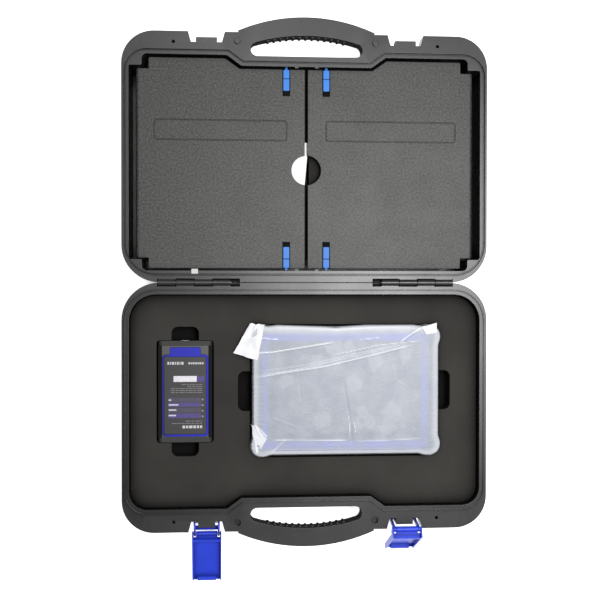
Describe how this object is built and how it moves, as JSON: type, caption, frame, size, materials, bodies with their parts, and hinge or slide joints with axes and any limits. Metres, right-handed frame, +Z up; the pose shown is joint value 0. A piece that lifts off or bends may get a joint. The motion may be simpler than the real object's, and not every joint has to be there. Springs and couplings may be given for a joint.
{
  "type": "cased diagnostic scanner set",
  "caption": "Diagnostic scanner set in an open carry case: interface module and bagged tablet lie in foam, with two bolted doors in the lid and toggle latches at the front.",
  "frame": {"origin": "middle of the base's underside, on the surface that the open case lies on", "axes": "+X to the right, +Y from the base towards the lid across the hinge, +Z up"},
  "size_m": [0.456, 0.7128, 0.0908],
  "materials": {
    "case_plastic": "fine moulded grain",
    "door_plastic": "pebbled grain",
    "foam": "closed-cell foam, matt",
    "paper": "blank paper",
    "bolt_plastic": "satin, bright blue",
    "latch_plastic": "satin, deep blue",
    "steel": "bright steel",
    "port_metal": "plated metal",
    "module_plastic": "fine matt",
    "cap_rubber": "matt rubber",
    "trim_plastic": "satin blue",
    "label_film": "printed film, dark with violet bars",
    "light_pipe": "clear light pipe",
    "circuit_board": "green board",
    "tablet_plastic": "fine matt",
    "bumper_rubber": "matt rubber",
    "bezel_plastic": "satin blue",
    "chassis_metal": "bare sheet",
    "screen": "dark glass",
    "display": "dark panel",
    "battery": "wrapped pouch cell",
    "film": "hazy clear film"
  },
  "bodies": {
    "base": {"base_shell": "case_plastic", "hinge_pins": "steel", "foam_insert": "foam", "latch_pins": "steel"},
    "lid": {"lid_shell": "case_plastic", "lid_pad_left": "foam", "lid_pad_right": "foam", "leaflet": "paper", "rim_sticker": "paper"},
    "left_door": {"door_left": "door_plastic"},
    "right_door": {"door_right": "door_plastic"},
    "left_front_bolt": {"bolt_left_front": "bolt_plastic"},
    "left_back_bolt": {"bolt_left_back": "bolt_plastic"},
    "right_front_bolt": {"bolt_right_front": "bolt_plastic"},
    "right_back_bolt": {"bolt_right_back": "bolt_plastic"},
    "left_link": {"link_left": "latch_plastic", "lever_pin_left": "steel"},
    "left_lever": {"lever_left": "latch_plastic"},
    "right_link": {"link_right": "latch_plastic", "lever_pin_right": "steel"},
    "right_lever": {"lever_right": "latch_plastic"},
    "scanner_module": {"module_lower_shell": "module_plastic", "module_upper_shell": "module_plastic", "module_port_cap": "cap_rubber", "module_cable_cap": "cap_rubber", "module_trim": "trim_plastic", "module_label": "label_film", "status_lights": "light_pipe", "module_board": "circuit_board", "vehicle_port": "port_metal", "cable_port": "port_metal", "radio_can": "port_metal", "module_screws": "steel"},
    "tablet": {"tablet_cover": "tablet_plastic", "tablet_bumper": "bumper_rubber", "tablet_bezel": "bezel_plastic", "tablet_chassis": "chassis_metal", "screen_glass": "screen", "display_panel": "display", "tablet_board": "circuit_board", "tablet_battery": "battery", "tablet_screws": "steel", "film_bag": "film"},
    "power_key": {"power_button": "bumper_rubber"}
  },
  "joints": [
    {"name": "lid_hinge", "type": "hinge", "parent": "base", "child": "lid", "pos_m": [0, 0.1545, 0.0683], "axis": [1, 0, 0], "range_deg": [0, 180]},
    {"name": "left_door_hinge", "type": "hinge", "parent": "lid", "child": "left_door", "pos_m": [-0.207, 0.3025, 0.058], "axis": [0, 1, 0], "range_deg": [-100, 0]},
    {"name": "right_door_hinge", "type": "hinge", "parent": "lid", "child": "right_door", "pos_m": [0.207, 0.3025, 0.058], "axis": [0, -1, 0], "range_deg": [-100, 0]},
    {"name": "left_front_bolt_slide", "type": "slide", "parent": "left_door", "child": "left_front_bolt", "axis": [0, 1, 0], "range_m": [-0.006, 0]},
    {"name": "left_back_bolt_slide", "type": "slide", "parent": "left_door", "child": "left_back_bolt", "axis": [0, -1, 0], "range_m": [-0.006, 0]},
    {"name": "right_front_bolt_slide", "type": "slide", "parent": "right_door", "child": "right_front_bolt", "axis": [0, 1, 0], "range_m": [-0.006, 0]},
    {"name": "right_back_bolt_slide", "type": "slide", "parent": "right_door", "child": "right_back_bolt", "axis": [0, -1, 0], "range_m": [-0.006, 0]},
    {"name": "left_latch", "type": "hinge", "parent": "base", "child": "left_link", "pos_m": [-0.124, -0.1451, 0.052], "axis": [-1, 0, 0], "range_deg": [0, 140]},
    {"name": "left_lever_turn", "type": "hinge", "parent": "left_link", "child": "left_lever", "pos_m": [-0.124, -0.16567, 0.02749], "axis": [1, 0, 0], "range_deg": [0, 208]},
    {"name": "right_latch", "type": "hinge", "parent": "base", "child": "right_link", "pos_m": [0.124, -0.1451, 0.052], "axis": [-1, 0, 0], "range_deg": [-24, 12]},
    {"name": "right_lever_turn", "type": "hinge", "parent": "right_link", "child": "right_lever", "pos_m": [0.124, -0.15175, 0.0833], "axis": [1, 0, 0], "range_deg": [-74, 37]},
    {"name": "module_lift", "type": "slide", "parent": "base", "child": "scanner_module", "axis": [0, 0, -1], "range_m": [-0.12, 0]},
    {"name": "tablet_lift", "type": "slide", "parent": "base", "child": "tablet", "axis": [0, 0, -1], "range_m": [-0.12, 0]},
    {"name": "power_press", "type": "slide", "parent": "tablet", "child": "power_key", "axis": [0, -1, 0], "range_m": [0, 0.0006], "stiffness_N_per_m": 900, "springref_m": -0.0008}
  ],
  "couplings": [
    {"joint": "left_lever_turn", "follows": "left_latch", "ratio": 1.4857},
    {"joint": "right_lever_turn", "follows": "right_latch", "ratio": 3.0833}
  ]
}
